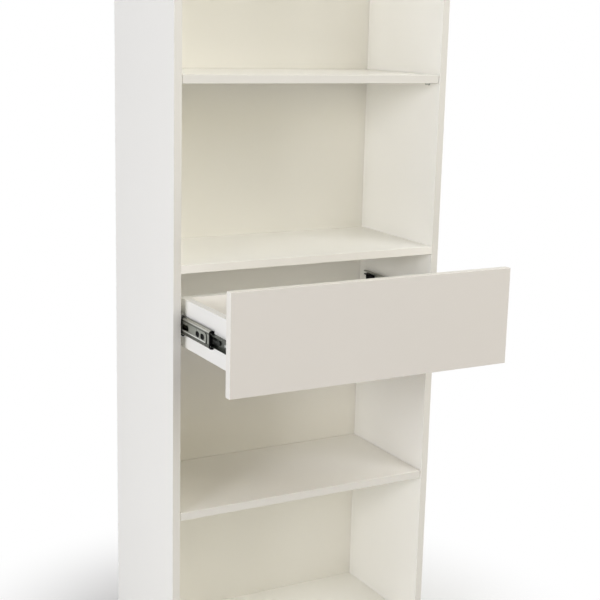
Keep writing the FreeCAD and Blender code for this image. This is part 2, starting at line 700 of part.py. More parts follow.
def drawer_dowels():
    """Dowels at both ends of the box's left side: into it from the front, and from it into the back."""
    front_dowels = []
    front_holes = []
    back_dowels = []
    back_holes = []
    side_x = -box_half + BOX_BOARD
    for z in (box_bottom_low + DOWEL_EDGE, box_top - DOWEL_EDGE):
        dowel, hole = dowel_through(point(side_x - BOX_BOARD / 2, front_rear_y, z), ALONG_Y)
        front_dowels.append(dowel)
        front_holes.append(hole)
        dowel, hole = dowel_through(point(side_x, front_rear_y + box_depth - BOX_BOARD / 2, z), ALONG_X)
        back_dowels.append(dowel)
        back_holes.append(hole)
    return front_dowels + back_dowels, front_holes, back_holes


def drawer_bumpers():
    """Soft dots on the back of the drawer front, in line with the left side panel."""
    x = -WIDTH / 2 + BOARD / 2
    dots = []
    for z in (front_low + BUMPER_EDGE, front_top - BUMPER_EDGE):
        face = point(x, front_rear_y, z)
        dots.append(bar(BUMPER_DIAMETER, face, face + ALONG_Y * DRAWER_GAP * BUMPER_SHARE, ROUND_SIDES))
    return dots


def build_slides():
    """Both slides, drawn out with the drawer."""
    to_cabinet = (-inner_x, cabinet_rail_y, slide_z)
    to_middle = (-inner_x, middle_rail_y, slide_z)
    to_drawer = (-inner_x, drawer_rail_y, slide_z)
    to_pivot = (-inner_x, drawer_rail_y + LEVER_PIVOT_SETBACK, slide_z)
    pairs = (("cabinet_rail", cabinet_rail(), to_cabinet, 0),
             ("rear_catch", rear_catch(), to_cabinet, 0),
             ("middle_rail", middle_rail(), to_middle, MIDDLE_TRAVEL_SHARE),
             ("rail_end_cap", middle_end_cap(), to_middle, MIDDLE_TRAVEL_SHARE),
             ("drawer_rail", drawer_rail(), to_drawer, 1),
             ("release_lever", release_lever(), to_pivot, 1))
    for name, shape, place, travel_share in pairs:
        placed = at_rest(moved(shape, *place), travel_share)
        save("left_" + name, [placed])
        save("right_" + name, [mirrored(placed)])
    save("lever_rivets", both_sides([at_rest(moved(lever_rivet(), *to_pivot), 1)]))

    outer_strips, outer_balls = ball_cage(outer_ball_v, -1)
    inner_strips, inner_balls = ball_cage(inner_ball_v, 1)
    outer_cage = [cage_web(outer_strips)]
    cages = (("outer", outer_cage, outer_balls, OUTER_CAGE_PLACE_SHARE, outer_cage_travel_share),
             ("inner", inner_strips, inner_balls, INNER_CAGE_PLACE_SHARE, inner_cage_travel_share))
    for name, shapes, balls, place_share, travel_share in cages:
        to_cage = (-inner_x, cabinet_rail_y + slide_length * place_share, slide_z)
        shapes = [at_rest(moved(shape, *to_cage), travel_share) for shape in shapes]
        balls = [at_rest(moved(one, *to_cage), travel_share) for one in balls]
        save("left_%s_cage" % name, shapes)
        save("right_%s_cage" % name, [mirrored(shape) for shape in shapes])
        save("%s_balls" % name, both_sides(balls))


def build_drawer():
    dowels, front_holes, back_holes = drawer_dowels()
    side = drawer_side(front_holes + back_holes)
    pieces = {
        "drawer_front": [drawer_front(both_sides(front_holes))],
        "drawer_side_left": [side],
        "drawer_side_right": [mirrored(side)],
        "drawer_back": [drawer_back(both_sides(back_holes))],
        "drawer_bottom": [drawer_bottom()],
        "drawer_dowels": both_sides(dowels),
        "drawer_bumpers": both_sides(drawer_bumpers()),
    }
    for name, shapes in pieces.items():
        save(name, [at_rest(shape, 1) for shape in shapes])


def build_carcass():
    panel_joints = {low: [point(-inner_x, y, low + BOARD / 2) for y in dowel_rows]
                    for low in (bottom_low, fixed_low, top_low)}
    plinth_y = front_y + PLINTH_SETBACK
    plinth_joints = [point(-inner_x, plinth_y + BOARD / 2, z)
                     for z in (GLIDE_HEIGHT + DOWEL_EDGE, bottom_low - DOWEL_EDGE)]

    dowels = []
    holes_at = {}
    for low, joints in list(panel_joints.items()) + [(GLIDE_HEIGHT, plinth_joints)]:
        pairs = [dowel_through(joint, ALONG_X) for joint in joints]
        dowels += [dowel for dowel, hole in pairs]
        holes_at[low] = [hole for dowel, hole in pairs]
    shelf_lows = (lower_shelf_low, middle_shelf_low, upper_shelf_low)
    pins = [shelf_pin(low, y) for low in shelf_lows for y in pin_rows]
    glides = [floor_glide(y) for y in (front_y + GLIDE_SETBACK, rear_y - GLIDE_SETBACK)]
    side_holes = [hole for holes in holes_at.values() for hole in holes]
    side_holes += [hole for piece, hole in pins + glides]
    side = side_panel(side_holes)
    save("left_side_panel", [side])
    save("right_side_panel", [mirrored(side)])
    save("dowels", both_sides(dowels))
    save("shelf_pins", both_sides([pin for pin, hole in pins]))
    save("floor_glides", both_sides([glide for glide, hole in glides]))

    bottom_groove = panel_groove(bottom_low + BOARD - GROOVE_DEPTH)
    top_groove = panel_groove(top_low - CUT_OVERRUN)
    plinth = block((-inner_x, inner_x), (plinth_y, plinth_y + BOARD), (GLIDE_HEIGHT, bottom_low))
    bottom_cuts = both_sides(holes_at[bottom_low]) + [bottom_groove]
    top_cuts = both_sides(holes_at[top_low]) + [top_groove]
    save("bottom_panel", [fixed_panel(bottom_low, rear_y, bottom_cuts)])
    save("fixed_shelf", [fixed_panel(fixed_low, back_face_y, both_sides(holes_at[fixed_low]))])
    save("top_panel", [fixed_panel(top_low, rear_y, top_cuts)])
    save("plinth_board", [plinth.cut(both_sides(holes_at[GLIDE_HEIGHT]))])

    reach = GROOVE_DEPTH - GROOVE_PLAY
    save("back_panel_upper", [back_panel(back_joint_z + BACK_JOINT_GAP / 2, top_low + reach)])
    save("back_panel_lower", [back_panel(bottom_low + BOARD - reach, back_joint_z - BACK_JOINT_GAP / 2)])
    save("lower_shelf", [loose_shelf(lower_shelf_low)])
    save("middle_shelf", [loose_shelf(middle_shelf_low)])
    save("upper_shelf", [loose_shelf(upper_shelf_low)])
    save("wall_brackets", both_sides([wall_bracket()]))


os.makedirs("parts", exist_ok=True)
build_slides()
build_drawer()
build_carcass()
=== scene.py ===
"""Finishes a tall bookcase with one drawer: its materials, its small fittings, a plain stage and the camera."""

import functools
import math

import bmesh
import bpy
from bpy.props import FloatProperty, FloatVectorProperty, PointerProperty
from mathutils import Matrix, Vector


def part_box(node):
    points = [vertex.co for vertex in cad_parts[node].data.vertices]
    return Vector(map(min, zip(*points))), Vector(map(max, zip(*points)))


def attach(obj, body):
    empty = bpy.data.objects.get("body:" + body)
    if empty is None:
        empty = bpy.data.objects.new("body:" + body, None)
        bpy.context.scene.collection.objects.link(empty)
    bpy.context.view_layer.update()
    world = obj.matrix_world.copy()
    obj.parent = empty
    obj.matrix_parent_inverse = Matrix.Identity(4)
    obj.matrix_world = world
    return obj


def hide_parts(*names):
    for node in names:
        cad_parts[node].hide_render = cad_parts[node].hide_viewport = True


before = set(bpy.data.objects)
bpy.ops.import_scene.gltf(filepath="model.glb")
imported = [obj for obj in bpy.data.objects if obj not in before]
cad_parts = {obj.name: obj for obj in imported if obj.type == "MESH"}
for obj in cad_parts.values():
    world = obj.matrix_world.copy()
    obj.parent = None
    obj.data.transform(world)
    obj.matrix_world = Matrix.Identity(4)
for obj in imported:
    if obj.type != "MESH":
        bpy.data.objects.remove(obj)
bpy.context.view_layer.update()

bl_info = {
    "name": "Bookcase Finisher",
    "version": (1, 0, 0),
    "blender": (4, 5, 0),
    "location": "View3D > Sidebar > Bookcase",
    "description": "Gives a tall bookcase with a drawer its finishes, fittings, stage and camera",
    "category": "Object",
}

SIDES = {"left": -1, "right": 1}
LOOSE_SHELVES = ("lower_shelf", "middle_shelf", "upper_shelf")
CARCASS_BOARDS = ("left_side_panel", "right_side_panel", "top_panel", "bottom_panel", "plinth_board", *LOOSE_SHELVES)
DRAWER_BOARDS = ("drawer_side_left", "drawer_side_right", "drawer_back")
WHITE = (1.0, 1.0, 1.0)

# How finely round pieces and rounded edges are divided, and the angle up to which faces are smoothed together
ROUND_VERTICES = 32
BALL_CUTS = 5
EDGE_SEGMENTS = 2
SMOOTH_ANGLE = math.radians(35)

# The least cosine at which a face counts as looking along an axis, in a material and in edit mode
MASK_COSINE = 0.8
PICK_COSINE = 0.9

# The middle of a noise's range, the size of a skin's smears in its pebbles, and the duller streaks in rolled zinc
NOISE_MIDDLE = 0.5
SMEAR_SCALE = 0.02
STREAK_SHADE = (0.75, 0.75, 0.75)

# Up a middle rail, in shares of its height: its bead, the hollow under its top, its top, and the blur between them.
# The plate is painted shade below the bead and in the hollow, and a painted highlight on the top
BEAD_SHARE = 0.285
HOLLOW_SHARE = 0.78
TOP_SHARE = 0.87
BAND_BLUR = 0.015

# Along the rails, in shares of their length: the screws
CABINET_SCREW_SHARES = (0.14, 0.78)
DRAWER_SCREW_SHARES = (0.14, 0.215, 0.78)
BALLS_IN_A_ROW = 4

# A bead's straight foot, in shares of its height, and its crown, in shares of its width
BEAD_FOOT = 0.5
BEAD_CROWN = 0.5

# From the end of a release lever to its arm, in radii of its grip
ARM_START = 1.7

# Turned profiles, in shares of a piece's height and radius: the first disc's height, then steps of a rise and a radius
CAM_FACE = 0.5
CAM_PROFILE = (1.0, (0.0, 0.86), (CAM_FACE - 1.0, 0.84))
SCREW_PROFILE = (0.35, (0.4, 0.88), (0.25, 0.55))
GLIDE_PROFILE = (0.6, (0.3, 0.93), (0.1, 0.8), (0.0, 0.3), (-0.2, 0.26))
DOT_PROFILE = (0.4, (0.3, 0.88), (0.2, 0.66), (0.1, 0.36))
GRIP_PROFILE = (1.0, (0.0, 0.72), (-0.25, 0.66))
BOSS_PROFILE = (1.0, (0.0, 0.9))

# The recess for a cross-point driver: span and width in radii of the head, the share of them that is left at the
# floor, and depth in heights of the head
CROSS_SPAN = 1.1
CROSS_WIDTH = 0.26
CROSS_FLOOR = 0.6
CAM_CROSS_DEPTH = 0.4
SCREW_CROSS_DEPTH = 0.6

# Width of the rounded edges, in shares of a piece's height or thickness
EDGES = {"pin": 0.25, "glide": 0.05, "cam": 0.15, "screw": 0.12, "bead": 0.2, "lever": 0.12}

# The soft boxes: degrees from the front towards the left, degrees up, metres across, and the tint of their light
LAMPS = {"left": (90, 10, 3.0, "cool"), "small_left": (60, 10, 1.6, "cool"), "front": (0, 12, 1.6, "warm"),
         "key": (-30, 37, 3.6, "plain"), "right": (-70, 10, 1.6, "warm"), "top": (0, 75, 3.6, "plain"),
         "rear": (180, 70, 3.6, "plain")}
LAMP_TARGET = Vector((0, -0.1, 1.0))


def colour(name, description, default):
    return FloatVectorProperty(name=name, description=description, subtype="COLOR", size=3, min=0, max=1,
                               default=default)


def length(name, description, default):
    return FloatProperty(name=name, description=description, unit="LENGTH", min=0, default=default, precision=4)


def power(name, description, default):
    return FloatProperty(name=name, description=description, unit="POWER", min=0, default=default)


def angle(name, description, degrees):
    return FloatProperty(name=name, description=description, subtype="ANGLE", default=math.radians(degrees))


class BoardFinish(bpy.types.PropertyGroup):
    """Colours and gloss of the faced boards."""

    face: colour("Face", "Warm off-white foil on the boards", (0.922, 0.908, 0.86))
    # Front, band, shelf band and box front are darker than the face partly as their own tone and partly as painted
    # shade on faces that look to the front
    front: colour("Front", "Foil on the drawer front", (0.563, 0.533, 0.506))
    front_edge: colour("Front edge", "Edges and rear of the drawer front", (0.872, 0.842, 0.775))
    box_front: colour("Box front", "Faces of the drawer's box that look to the front", (0.86, 0.83, 0.787))
    band: colour("Band", "Bands on the boards' front edges", (0.61, 0.59, 0.556))
    # The shelf band is lighter than the other bands as painted light where the open drawer shades the fixed shelf's
    # front edge
    shelf_band: colour("Shelf band", "Band on the fixed shelf's front edge", (0.742, 0.717, 0.678))
    # The thin face is darker than the boards' face partly as its own tone and partly as painted shade
    thin_face: colour("Thin face", "Painted side of the thin panels", (0.785, 0.763, 0.708))
    chip_light: colour("Light chips", "Palest chips on a bare board edge", (0.60, 0.43, 0.25))
    chip_dark: colour("Dark chips", "Darkest chips on a bare board edge", (0.26, 0.16, 0.08))
    hardboard: colour("Hardboard", "Bare side of the thin panels", (0.30, 0.17, 0.08))
    roughness: FloatProperty(name="Roughness", description="Roughness of the foil", min=0, max=1, default=0.42)


class FittingFinish(bpy.types.PropertyGroup):
    """Colours of the metal, moulded and wooden fittings."""

    zinc: colour("Zinc", "Bright zinc plate on the rails", (0.62, 0.63, 0.61))
    zinc_shade: colour("Zinc shade", "Duller streaks in the zinc plate", (0.30, 0.31, 0.29))
    rolled_web: colour("Rolled web", "Zinc plate on the web of the middle rails", (0.30, 0.31, 0.27))
    # The beads' lighter plate is a painted highlight on their crowns
    painted_bead_highlight: colour("Rolled bead", "Bright beads on the middle rails", (0.68, 0.68, 0.64))
    # Painted shade in the middle rails' hollows, and a painted highlight on their tops, darker and lighter than the
    # web because of how light falls
    painted_hollow_shade: colour("Rolled hollow", "Dull hollows below the beads and under the middle rails' tops",
                          (0.10, 0.105, 0.085))
    painted_top_light: colour("Rolled top", "Top of the middle rails", (0.58, 0.58, 0.53))
    # The drawer rails are the same zinc plate, darkened as painted shade and painted dark reflection, with darker
    # streaks in it
    dark_plate: colour("Dark plate", "Dark plate on the drawer's rails", (0.15, 0.16, 0.135))
    painted_shade_streaks: colour("Dark shade", "Darker streaks in the dark plate", (0.05, 0.055, 0.047))
    steel: colour("Steel", "Polished balls", (0.64, 0.64, 0.65))
    black: colour("Black", "Moulded black stops and cages", (0.005, 0.005, 0.005))
    lever: colour("Lever", "Moulded dark grey release levers", (0.03, 0.032, 0.028))
    white: colour("White", "Moulded off-white glides", (0.74, 0.72, 0.68))
    beech: colour("Beech", "Dowels", (0.56, 0.36, 0.18))
    dot: colour("Dot", "Soft bumper dots", (0.72, 0.71, 0.67))


class FittingSizes(bpy.types.PropertyGroup):
    """Sizes of the small fittings."""

    pin_radius: length("Pin radius", "Shelf pin", 0.0025)
    pin_collar: length("Pin collar", "Radius of the collar on a shelf pin", 0.004)
    pin_collar_thickness: length("Pin collar thickness", "Thickness of that collar", 0.0009)
    pin_reach: length("Pin reach", "How far a pin stands out of the panel, and into it", 0.009)
    pin_setback: length("Pin setback", "From the front edges and from the back panel to the pins", 0.037)
    glide_radius: length("Glide radius", "Floor glide", 0.007)
    glide_setback: length("Glide setback", "From the front and rear edges to the glides", 0.032)
    cam_radius: length("Cam radius", "Cam lock", 0.0075)
    cam_rise: length("Cam rise", "How far a cam lock stands out of its board", 0.0003)
    cam_end: length("Cam end", "From a board's end to its cam locks", 0.034)
    cam_edge: length("Cam edge", "From a board's long edges to its cam locks", 0.060)
    drawer_cam_end: length("Drawer cam end", "From the drawer front to its cam locks", 0.024)
    drawer_cam_edge: length("Drawer cam edge", "From a drawer side's edges to its cam locks", 0.026)
    rail_steel: length("Rail steel", "Thickness of the rails", 0.0012)
    flat_screw: length("Flat screw", "Radius of the thin heads in the cabinet rails", 0.0036)
    flat_screw_height: length("Flat screw height", "Height of those heads", 0.0003)
    round_screw: length("Round screw", "Radius of the round heads in the drawer rails", 0.0034)
    round_screw_height: length("Round screw height", "Height of those heads", 0.0017)
    bracket_screw: length("Bracket screw", "Radius of the heads on the wall brackets' feet", 0.0048)
    bracket_screw_height: length("Bracket screw height", "Height of those heads", 0.0026)
    bracket_screw_setback: length("Bracket screw setback", "From the wall to those heads", 0.018)
    bracket_half: length("Bracket half", "Half the width of a wall bracket", 0.015)
    bracket_steel: length("Bracket steel", "Thickness of the wall brackets", 0.002)
    panel_screw: length("Panel screw", "Radius of the heads that hold the thin panels", 0.003)
    panel_screw_height: length("Panel screw height", "Height of those heads", 0.0012)
    panel_screw_spacing: length("Panel screw spacing", "Between one of those heads and the next", 0.19)
    panel_screw_offset: length("Panel screw offset", "From the joint between the back panels to their screws", 0.0044)
    bead_width: length("Bead width", "Width of the bead along a middle rail", 0.0022)
    bead_height: length("Bead height", "Height of that bead", 0.0002)
    bead_front: length("Bead front", "From a middle rail's front end to its bead", 0.0155)
    bead_rear: length("Bead rear", "From a middle rail's rear end to its bead", 0.002)
    ball_radius: length("Ball radius", "Bearing ball", 0.002)
    dot_radius: length("Dot radius", "Bumper dot", 0.004)
    grip_radius: length("Grip radius", "Round ends of a release lever", 0.0045)
    lever_arm: length("Lever arm", "Height of a release lever's arm", 0.005)
    lever_hook: length("Lever hook", "Length of a release lever's hook", 0.004)


class StageSetup(bpy.types.PropertyGroup):
    """The floor and the light."""

    floor: colour("Floor", "Pale floor", (0.9, 0.9, 0.9))
    floor_size: length("Floor size", "Width of the floor", 12.0)
    floor_near: length("Floor near", "Distance at which the floor starts to fade to white", 0.2)
    floor_far: length("Floor far", "Distance at which the floor is white", 0.85)
    lamp_distance: length("Lamp distance", "From each soft box to the bookcase", 5.5)
    left: power("Left", "Large soft box on the left", 58.5)
    small_left: power("Small left", "Small soft box on the left", 120.0)
    front: power("Front", "Small soft box at the front", 58.0)
    key: power("Key", "Large soft box above, on the right", 168.0)
    right: power("Right", "Small soft box on the right", 62.0)
    top: power("Top", "Large soft box overhead", 35.0)
    rear: power("Rear", "Large soft box behind and above", 90.0)
    cool: colour("Cool", "Light of the soft boxes on the left", (0.945, 0.95, 1.0))
    warm: colour("Warm", "Light of the small soft boxes at the front and on the right", (1.0, 0.955, 0.75))
    plain: colour("Plain", "Light of the other soft boxes", WHITE)


class CameraSetup(bpy.types.PropertyGroup):
    """Where the picture is taken from."""

    place: FloatVectorProperty(name="Place", description="Place of the camera", subtype="TRANSLATION", size=3,
                               default=(-1.21748, -2.27152, 1.37951))
    yaw: angle("Yaw", "Turn to the right", 29.2713)
    pitch: angle("Pitch", "Turn down", 12.4469)
    roll: angle("Roll", "Turn about the line of sight", 1.4456)
    lens: FloatProperty(name="Lens", description="Focal length", unit="CAMERA", default=75.4359)
    sensor: FloatProperty(name="Sensor", description="Width of the sensor", unit="CAMERA", default=36.0)


# Shader helpers

def empty_tree(owner):
    """The node tree of a material or a world, with nothing in it."""
    owner.use_nodes = True
    owner.node_tree.nodes.clear()
    return owner.node_tree


def place_node(tree, kind, **settings):
    node = tree.nodes.new(kind)
    for name, value in settings.items():
        setattr(node, name, value)
    return node


def feed(tree, source, target):
    """Link a socket to an input, or set the input to a number or a colour."""
    if isinstance(source, bpy.types.NodeSocket):
        tree.links.new(source, target)
    elif target.type == "RGBA":
        target.default_value = (*source, 1)
    else:
        target.default_value = source


def math_node(tree, operation, first, second):
    node = place_node(tree, "ShaderNodeMath", operation=operation)
    feed(tree, first, node.inputs[0])
    feed(tree, second, node.inputs[1])
    return node.outputs[0]


def mix_colours(tree, share, first, second, blend="MIX"):
    node = place_node(tree, "ShaderNodeMix", data_type="RGBA", blend_type=blend)
    sockets = {socket.identifier: socket for socket in (*node.inputs, *node.outputs)}
    feed(tree, share, sockets["Factor_Float"])
    feed(tree, first, sockets["A_Color"])
    feed(tree, second, sockets["B_Color"])
    return sockets["Result_Color"]


def noise(tree, vector, scale, detail, roughness=0.5):
    node = place_node(tree, "ShaderNodeTexNoise")
    for name, value in (("Vector", vector), ("Scale", scale), ("Detail", detail), ("Roughness", roughness)):
        feed(tree, value, node.inputs[name])
    return node.outputs["Fac"]


def drift(tree, cloud, amount):
    """A small change up and down, from a noise."""
    return math_node(tree, "MULTIPLY", math_node(tree, "SUBTRACT", cloud, NOISE_MIDDLE), amount)


def new_group(name, inputs, outputs):
    """An empty node group, its given sockets and those that it puts out. A socket's kind is Float, Color or Vector."""
    group = bpy.data.node_groups.new(name, "ShaderNodeTree")
    for in_out, sockets in (("INPUT", inputs), ("OUTPUT", outputs)):
        for socket, kind in sockets.items():
            group.interface.new_socket(socket, in_out=in_out, socket_type="NodeSocket" + kind)
    return group, place_node(group, "NodeGroupInput").outputs, place_node(group, "NodeGroupOutput").inputs


def use_group(tree, group, coords, **values):
    """Place a group in a material, on its object coordinates and with its own values, and give what it puts out."""
    node = place_node(tree, "ShaderNodeGroup", node_tree=group)
    feed(tree, coords["Object"], node.inputs["Vector"])
    for name, value in values.items():
        feed(tree, value, node.inputs[name])
    return node.outputs


# Effects that several materials share. Each is built once, when it is first asked for, and so is each material.

@functools.cache
def cloudy_tone():
    """A colour that drifts a little, in soft clouds."""
    group, given, put = new_group("cloudy tone", {"Vector": "Vector", "Color": "Color", "Scale": "Float",
                                                  "Amount": "Float"}, {"Color": "Color"})
    cloud = noise(group, given["Vector"], given["Scale"], detail=3.0)
    shade = place_node(group, "ShaderNodeVectorMath", operation="SCALE")
    feed(group, given["Color"], shade.inputs[0])
    feed(group, math_node(group, "ADD", drift(group, cloud, given["Amount"]), 1.0), shade.inputs["Scale"])
    feed(group, shade.outputs[0], put["Color"])
    return group


@functools.cache
def pebbled_skin():
    """Fine pebbling, as pressed into foil and moulded plastic: a height, and a roughness that drifts in smears."""
    group, given, put = new_group("pebbled skin", {"Vector": "Vector", "Scale": "Float", "Roughness": "Float",
                                                   "Drift": "Float"}, {"Height": "Float", "Roughness": "Float"})
    pebbles = noise(group, given["Vector"], given["Scale"], detail=3.0, roughness=0.6)
    feed(group, pebbles, put["Height"])
    smear = noise(group, given["Vector"], math_node(group, "MULTIPLY", given["Scale"], SMEAR_SCALE), detail=4.0)
    feed(group, math_node(group, "ADD", given["Roughness"], drift(group, smear, given["Drift"])), put["Roughness"])
    return group


@functools.cache
def drawn_streaks():
    """Long streaks along Y, as rolling leaves on steel."""
    group, given, put = new_group("drawn streaks", {"Vector": "Vector", "Scale": "Float", "Stretch": "Float"},
                                  {"Streaks": "Float"})
    squeeze = place_node(group, "ShaderNodeCombineXYZ")
    for axis, value in (("X", 1.0), ("Y", given["Stretch"]), ("Z", 1.0)):
        feed(group, value, squeeze.inputs[axis])
    stretched = place_node(group, "ShaderNodeVectorMath", operation="MULTIPLY")
    feed(group, given["Vector"], stretched.inputs[0])
    feed(group, squeeze.outputs[0], stretched.inputs[1])
    feed(group, noise(group, stretched.outputs[0], given["Scale"], detail=4.0, roughness=0.6), put["Streaks"])
    return group


@functools.cache
def pressed_chips():
    """The bare edge of a board of pressed chips."""
    group, given, put = new_group("pressed chips", {"Vector": "Vector", "Light": "Color", "Dark": "Color",
                                                    "Scale": "Float"}, {"Color": "Color"})
    chips = place_node(group, "ShaderNodeTexVoronoi")
    feed(group, given["Vector"], chips.inputs["Vector"])
    feed(group, given["Scale"], chips.inputs["Scale"])
    tone = place_node(group, "ShaderNodeSeparateColor")
    feed(group, chips.outputs["Color"], tone.inputs[0])
    feed(group, mix_colours(group, tone.outputs[0], given["Dark"], given["Light"]), put["Color"])
    return group


# Materials

def new_material(name):
    """A material, its nodes, its shader's inputs and its coordinates."""
    material = bpy.data.materials.new(name)
    tree = empty_tree(material)
    shader = place_node(tree, "ShaderNodeBsdfPrincipled")
    output = place_node(tree, "ShaderNodeOutputMaterial")
    feed(tree, shader.outputs[0], output.inputs["Surface"])
    return material, tree, shader.inputs, place_node(tree, "ShaderNodeTexCoord").outputs


def facing(tree, coords, axis, sign):
    """A mask of the faces that look along an axis."""
    parts = place_node(tree, "ShaderNodeSeparateXYZ")
    feed(tree, coords["Normal"], parts.inputs[0])
    return math_node(tree, "GREATER_THAN", math_node(tree, "MULTIPLY", parts.outputs[axis], sign), MASK_COSINE)


def clouded(tree, coords, tint, scale, amount):
    """A tint that drifts a little over the surface."""
    return use_group(tree, cloudy_tone(), coords, Color=tint, Scale=scale, Amount=amount)["Color"]


def roughen(tree, shader, coords, scale, roughness, smears):
    """Give a shader the roughness of a pebbled skin, and return the height of that skin."""
    skin = use_group(tree, pebbled_skin(), coords, Scale=scale, Roughness=roughness, Drift=smears)
    feed(tree, skin["Roughness"], shader["Roughness"])
    return skin["Height"]


def add_bump(tree, shader, height, distance, strength):
    bump = place_node(tree, "ShaderNodeBump")
    for name, value in (("Height", height), ("Distance", distance), ("Strength", strength)):
        feed(tree, value, bump.inputs[name])
    feed(tree, bump.outputs[0], shader["Normal"])


def board_material(name, face_colour, front_shaded_colour, bare_rear=False):
    """Faced board, darker on the faces that look to the front, partly as its own tone and partly as painted shade,
    and, if asked, with chips on its bare rear edge.
    """
    finish = bpy.context.scene.board_finish
    material, tree, shader, coords = new_material(name)
    # The faces that look to the front take a darker colour: partly their own tone, partly painted shade
    foil = mix_colours(tree, facing(tree, coords, "Y", -1), face_colour, front_shaded_colour)
    tone = clouded(tree, coords, foil, scale=3.0, amount=0.035)
    if bare_rear:
        chips = use_group(tree, pressed_chips(), coords, Light=finish.chip_light, Dark=finish.chip_dark, Scale=420.0)
        tone = mix_colours(tree, facing(tree, coords, "Y", 1), tone, chips["Color"])
    feed(tree, tone, shader["Base Color"])
    feed(tree, 0.45, shader["Specular IOR Level"])
    height = roughen(tree, shader, coords, scale=1400.0, roughness=finish.roughness, smears=0.12)
    add_bump(tree, shader, height, distance=0.00006, strength=0.6)
    return material


@functools.cache
def carcass_board():
    finish = bpy.context.scene.board_finish
    return board_material("carcass board", finish.face, finish.band, bare_rear=True)


@functools.cache
# Its band is lighter than the other bands as painted light where the open drawer shades it
def fixed_shelf_board():
    finish = bpy.context.scene.board_finish
    return board_material("fixed shelf board", finish.face, finish.shelf_band, bare_rear=True)


@functools.cache
def drawer_front_board():
    finish = bpy.context.scene.board_finish
    return board_material("drawer front board", finish.front_edge, finish.front)


@functools.cache
def drawer_box_board():
    finish = bpy.context.scene.board_finish
    return board_material("drawer box board", finish.face, finish.box_front)


def panel_material(name, axis, sign):
    """Thin hardboard: painted on its face and bare brown on the side that looks along an axis."""
    finish = bpy.context.scene.board_finish
    material, tree, shader, coords = new_material(name)
    # The thin face is darker than the boards' face partly as its own tone and partly as painted shade
    paint = clouded(tree, coords, finish.thin_face, scale=4.0, amount=0.05)
    fibres = clouded(tree, coords, finish.hardboard, scale=900.0, amount=0.7)
    feed(tree, mix_colours(tree, facing(tree, coords, axis, sign), paint, fibres), shader["Base Color"])
    height = roughen(tree, shader, coords, scale=900.0, roughness=0.5, smears=0.15)
    add_bump(tree, shader, height, distance=0.0001, strength=0.5)
    return material


@functools.cache
def back_panel_board():
    return panel_material("back panel board", "Y", 1)


@functools.cache
def drawer_bottom_board():
    return panel_material("drawer bottom board", "Z", -1)


def banded(tree, coords, lowest, highest, steps):
    """Bands of colour between two heights: steps of a share of the way up and the colour from there."""
    parts = place_node(tree, "ShaderNodeSeparateXYZ")
    feed(tree, coords["Object"], parts.inputs[0])
    share = place_node(tree, "ShaderNodeMapRange")
    for name, value in (("Value", parts.outputs["Z"]), ("From Min", lowest), ("From Max", highest)):
        feed(tree, value, share.inputs[name])
    ramp = place_node(tree, "ShaderNodeValToRGB")
    feed(tree, share.outputs["Result"], ramp.inputs[0])
    stops = ramp.color_ramp.elements
    stops.remove(stops[1])
    stops[0].color = (*steps[0][1], 1)
    for (start, tint), (_, before) in zip(steps[1:], steps):
        stops.new(start - BAND_BLUR).color = (*before, 1)
        stops.new(start + BAND_BLUR).color = (*tint, 1)
    return ramp.outputs[0]


def plated(name, bright, shade, bands=None):
    """Plated rolled steel, with streaks along its length, a mottled plate and, where it has them, bands of painted
    shade and painted highlight up it.
    """
    material, tree, shader, coords = new_material(name)
    streaks = use_group(tree, drawn_streaks(), coords, Scale=500.0, Stretch=0.03)["Streaks"]
    plate = mix_colours(tree, streaks, shade, bright)
    if bands:
        plate = mix_colours(tree, 1.0, plate, banded(tree, coords, *bands), "MULTIPLY")
    feed(tree, clouded(tree, coords, plate, scale=160.0, amount=0.5), shader["Base Color"])
    feed(tree, 1.0, shader["Metallic"])
    roughen(tree, shader, coords, scale=1200.0, roughness=0.3, smears=0.2)
    add_bump(tree, shader, streaks, distance=0.00005, strength=0.4)
    return material


@functools.cache
def zinc_plate():
    finish = bpy.context.scene.fitting_finish
    return plated("zinc plate", finish.zinc, finish.zinc_shade)


@functools.cache
def rolled_zinc_painted_bands():
    """The middle rails' zinc plate, with painted shade in the hollows along them and a painted highlight on their
    tops.
    """
    finish = bpy.context.scene.fitting_finish
    lowest, highest = (corner.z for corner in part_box("left_middle_rail"))
    # Bands up the rail: painted shade below the bead, the web, painted shade in the hollow under the top, and a
    # painted highlight on the top
    steps = ((0.0, finish.painted_hollow_shade), (BEAD_SHARE, finish.rolled_web), (HOLLOW_SHARE, finish.painted_hollow_shade),
             (TOP_SHARE, finish.painted_top_light))
    return plated("rolled zinc", WHITE, STREAK_SHADE, (lowest, highest, steps))


@functools.cache
# The bead's plate is lighter than the rail's web as a painted highlight
def bead_with_painted_highlight():
    finish = bpy.context.scene.fitting_finish
    return plated("bright bead", finish.painted_bead_highlight, finish.zinc)


@functools.cache
# Zinc plate darkened as painted shade and painted dark reflection, for the drawer rails
def dark_plate():
    finish = bpy.context.scene.fitting_finish
    return plated("dark plate", finish.dark_plate, finish.painted_shade_streaks)


@functools.cache
def bearing_steel():
    """Polished steel balls."""
    finish = bpy.context.scene.fitting_finish
    material, tree, shader, coords = new_material("bearing steel")
    feed(tree, clouded(tree, coords, finish.steel, scale=700.0, amount=0.2), shader["Base Color"])
    feed(tree, 1.0, shader["Metallic"])
    feed(tree, 0.12, shader["Roughness"])
    return material


def moulded(name, tint, shine, roughness=0.5):
    """Moulded plastic with a fine skin."""
    material, tree, shader, coords = new_material(name)
    feed(tree, clouded(tree, coords, tint, scale=90.0, amount=0.25), shader["Base Color"])
    feed(tree, shine, shader["Specular IOR Level"])
    height = roughen(tree, shader, coords, scale=2600.0, roughness=roughness, smears=0.15)
    add_bump(tree, shader, height, distance=0.00004, strength=0.5)
    return material


@functools.cache
def black_moulding():
    return moulded("black moulding", bpy.context.scene.fitting_finish.black, shine=0.04)


